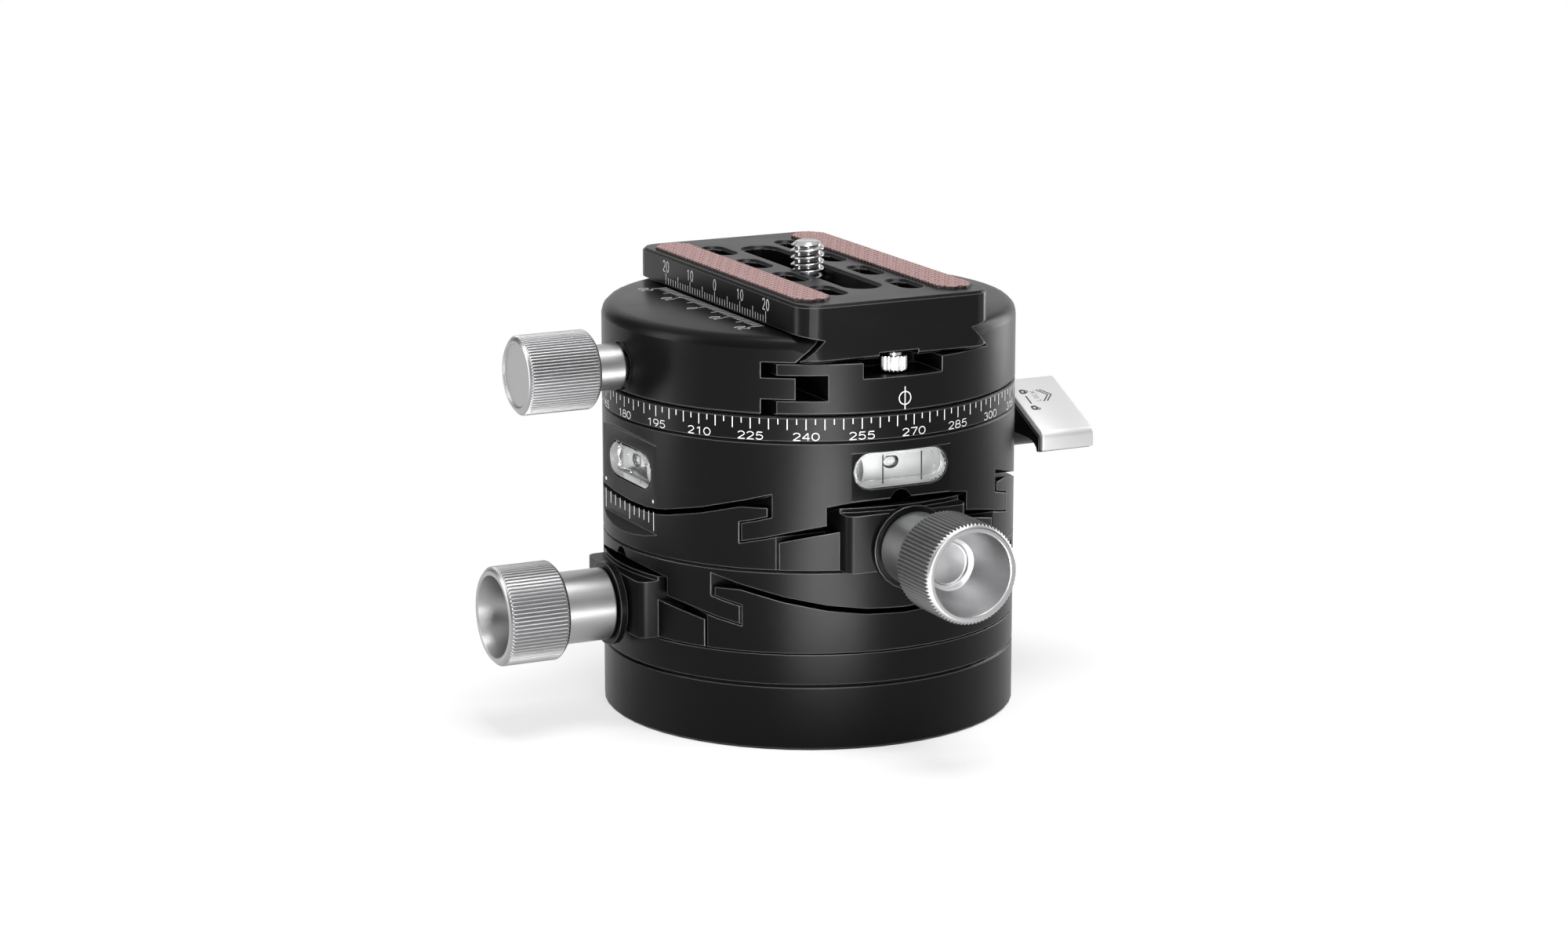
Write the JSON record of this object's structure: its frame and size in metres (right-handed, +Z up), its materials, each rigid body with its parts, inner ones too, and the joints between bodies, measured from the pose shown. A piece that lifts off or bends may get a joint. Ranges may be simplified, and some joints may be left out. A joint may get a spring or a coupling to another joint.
{
  "type": "geared tripod head",
  "caption": "Round geared levelling head: two crossed worm-driven tilt stages on curved ways, a panning base with a lever lock, and a screw-knob dovetail clamp that holds a slotted camera plate.",
  "frame": {"origin": "centre of the tripod thread's mouth, in the foot's underside", "axes": "+Z up along the pan axis; +X from the clamp knob's side to the lock lever's side; -Y is the front, with the upper worm's knob and the front spirit level; every joint is at 0, both stages level"},
  "size_m": [0.1137, 0.1013, 0.0863],
  "materials": {
    "black_anodised": "satin black anodised, bright on the turned chamfers",
    "silver_anodised": "satin clear anodised",
    "stainless_steel": "turned, fine lathe marks",
    "black_steel": "black oxide",
    "bronze": "machined bronze, lightly greased",
    "brown_rubber": "matt, with a fine diamond grain",
    "white_acetal": "smooth, turned",
    "clear_acrylic": "polished, clear"
  },
  "bodies": {
    "base": {"base_foot": "black_anodised", "base_deck": "black_anodised", "tripod_socket": "stainless_steel", "base_screw_1": "black_steel", "base_screw_2": "black_steel", "base_screw_3": "black_steel", "base_screw_4": "black_steel", "lower_rail_base": "black_anodised", "lower_rail_screw_1": "black_steel", "lower_rail_screw_2": "black_steel", "lower_rail_screw_3": "black_steel", "lower_rail_screw_4": "black_steel", "lower_worm_carrier": "black_anodised", "lower_carrier_screw_1": "black_steel", "lower_carrier_screw_2": "black_steel", "lower_bearing_cap": "black_anodised"},
    "lower_worm_unit": {"lower_worm": "stainless_steel", "lower_knob": "silver_anodised", "lower_knob_set_screw": "black_steel"},
    "lower_stage": {"lower_tilt_body": "black_anodised", "lower_rack": "bronze", "upper_rail_base": "black_anodised", "upper_rail_screw_1": "black_steel", "upper_rail_screw_2": "black_steel", "upper_rail_screw_3": "black_steel", "upper_rail_screw_4": "black_steel", "upper_worm_carrier": "black_anodised", "upper_carrier_screw_1": "black_steel", "upper_carrier_screw_2": "black_steel", "upper_bearing_cap": "black_anodised"},
    "upper_worm_unit": {"upper_worm": "stainless_steel", "upper_knob": "silver_anodised", "upper_knob_set_screw": "black_steel"},
    "upper_stage": {"upper_tilt_body": "black_anodised", "upper_rack": "bronze", "front_vial": "clear_acrylic", "side_vial": "clear_acrylic", "pan_scale_ring": "black_anodised", "scale_ring_screw_1": "black_steel", "scale_ring_screw_2": "black_steel", "scale_ring_screw_3": "black_steel", "pan_thrust_washer": "white_acetal", "pan_lock_shoe": "bronze"},
    "lock_lever": {"pan_lock_lever": "black_anodised", "pan_lock_lever_cap": "silver_anodised", "pan_lock_shaft": "stainless_steel"},
    "pan_clamp": {"pan_spindle": "stainless_steel", "clamp_base": "black_anodised", "clamp_bolt_1": "black_steel", "clamp_spring_1": "stainless_steel", "clamp_spring_2": "stainless_steel"},
    "moving_jaw": {"clamp_jaw": "black_anodised"},
    "jaw_knob": {"clamp_knob": "silver_anodised", "clamp_screw": "stainless_steel"},
    "plate": {"camera_plate": "black_anodised", "left_grip_pad": "brown_rubber", "right_grip_pad": "brown_rubber", "plate_stop_screw_1": "stainless_steel", "plate_stop_screw_2": "stainless_steel"},
    "mounting_screw": {"camera_screw": "stainless_steel"}
  },
  "joints": [
    {"name": "lower_tilt", "type": "hinge", "parent": "base", "child": "lower_stage", "pos_m": [0, 0, 0.10555], "axis": [0, -1, 0], "range_deg": [-10, 10]},
    {"name": "lower_knob_turn", "type": "hinge", "parent": "base", "child": "lower_worm_unit", "pos_m": [0, 0, 0.02205], "axis": [1, 0, 0], "range_deg": [-3300, 3300]},
    {"name": "upper_tilt", "type": "hinge", "parent": "lower_stage", "child": "upper_stage", "pos_m": [0, 0, 0.1207], "axis": [1, 0, 0], "range_deg": [-10, 10]},
    {"name": "upper_knob_turn", "type": "hinge", "parent": "lower_stage", "child": "upper_worm_unit", "pos_m": [0, 0, 0.0372], "axis": [0, 1, 0], "range_deg": [-3300, 3300]},
    {"name": "pan", "type": "hinge", "parent": "upper_stage", "child": "pan_clamp", "pos_m": [0, 0, 0.0612], "axis": [0, 0, 1], "continuous": true},
    {"name": "pan_lock_turn", "type": "hinge", "parent": "upper_stage", "child": "lock_lever", "pos_m": [0.0395, 0, 0.05], "axis": [1, 0, 0], "range_deg": [0, 35]},
    {"name": "jaw_slide", "type": "slide", "parent": "pan_clamp", "child": "moving_jaw", "axis": [-1, 0, 0], "range_m": [0, 0.00375]},
    {"name": "jaw_knob_turn", "type": "hinge", "parent": "moving_jaw", "child": "jaw_knob", "pos_m": [0, 0, 0.06575], "axis": [-1, 0, 0], "range_deg": [-10, 1095]},
    {"name": "plate_slide", "type": "slide", "parent": "pan_clamp", "child": "plate", "axis": [0, 1, 0], "range_m": [-0.002, 0.002]},
    {"name": "mounting_screw_turn", "type": "hinge", "parent": "plate", "child": "mounting_screw", "pos_m": [0, 0.0005, 0.0755], "axis": [0, 0, 1], "continuous": true}
  ],
  "couplings": [
    {"joint": "lower_knob_turn", "follows": "lower_tilt", "ratio": -324},
    {"joint": "upper_knob_turn", "follows": "upper_tilt", "ratio": -324},
    {"joint": "jaw_knob_turn", "follows": "jaw_slide", "rad_per_m": 5026.5}
  ]
}
